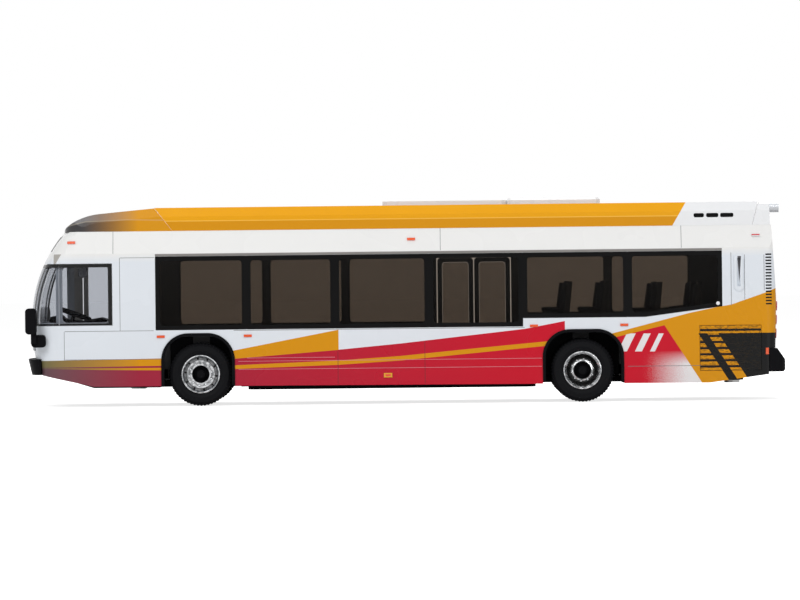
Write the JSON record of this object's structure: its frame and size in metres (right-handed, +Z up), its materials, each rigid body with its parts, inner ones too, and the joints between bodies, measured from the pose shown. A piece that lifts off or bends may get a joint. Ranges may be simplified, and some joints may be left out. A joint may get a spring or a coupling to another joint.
{
  "type": "scale model city bus",
  "caption": "Die-cast scale model of a low-floor city bus: long white body with tinted side windows, roof fairings, two doors and free-rolling axles.",
  "frame": {"origin": "on the ground under the middle of the model", "axes": "+X runs to the rear of the bus, -Y to the driver's side, +Z up"},
  "size_m": [0.1436, 0.0352, 0.0387],
  "materials": {
    "black_plastic": "black plastic",
    "body_paint": "white enamel with printed stripes over die-cast zinc",
    "cap_plastic": "grey to gold painted plastic",
    "chrome_rim": "vacuum-metallised plastic rim",
    "clear_glazing": "clear plastic with printed black borders",
    "fairing_plastic": "gold painted plastic",
    "grey_plastic": "grey plastic interior",
    "lamp_amber": "amber lamp",
    "lamp_clear": "silvered lamp",
    "lamp_red": "red lamp",
    "seat_plastic": "dark plastic seats",
    "steel": "steel",
    "tinted_glazing": "tinted clear plastic with printed black borders",
    "tyre_rubber": "moulded rubber",
    "white_plastic": "white plastic"
  },
  "bodies": {
    "root": {"body_shell": "body_paint", "front_roof_cap": "cap_plastic", "left_fairing": "fairing_plastic", "right_fairing": "fairing_plastic", "rear_roof_cap": "white_plastic", "roof_equipment": "white_plastic", "front_bumper": "black_plastic", "rear_bumper": "black_plastic", "chassis": "black_plastic", "base_screws": "steel", "interior_floor": "grey_plastic", "passenger_seats": "seat_plastic", "driver_seat": "seat_plastic", "dashboard": "black_plastic", "steering_wheel": "black_plastic", "fender_trims": "black_plastic", "left_windows": "tinted_glazing", "right_windows": "tinted_glazing", "windshield": "clear_glazing", "driver_window": "clear_glazing", "sign_glass": "tinted_glazing", "front_door": "body_paint", "front_door_glass": "tinted_glazing", "rear_door": "body_paint", "rear_door_glass": "tinted_glazing", "headlamps": "lamp_clear", "tail_lamps": "lamp_red", "marker_lamps": "lamp_amber", "side_grille": "black_plastic", "engine_door": "body_paint", "left_mirror": "black_plastic", "right_mirror": "black_plastic", "exhaust_outlet": "steel"},
    "front_wheels": {"front_axle": "steel", "front_rim_left": "chrome_rim", "front_rim_right": "chrome_rim", "front_tyres_left": "tyre_rubber", "front_tyres_right": "tyre_rubber"},
    "rear_wheels": {"rear_axle": "steel", "rear_rim_left": "chrome_rim", "rear_rim_right": "chrome_rim", "rear_tyres_left": "tyre_rubber", "rear_tyres_right": "tyre_rubber"}
  },
  "joints": [
    {"name": "front_wheel_spin", "type": "hinge", "parent": "root", "child": "front_wheels", "pos_m": [-0.0385, 0, 0.00603], "axis": [0, 1, 0], "continuous": true},
    {"name": "rear_wheel_spin", "type": "hinge", "parent": "root", "child": "rear_wheels", "pos_m": [0.0335, 0, 0.00603], "axis": [0, 1, 0], "continuous": true}
  ]
}
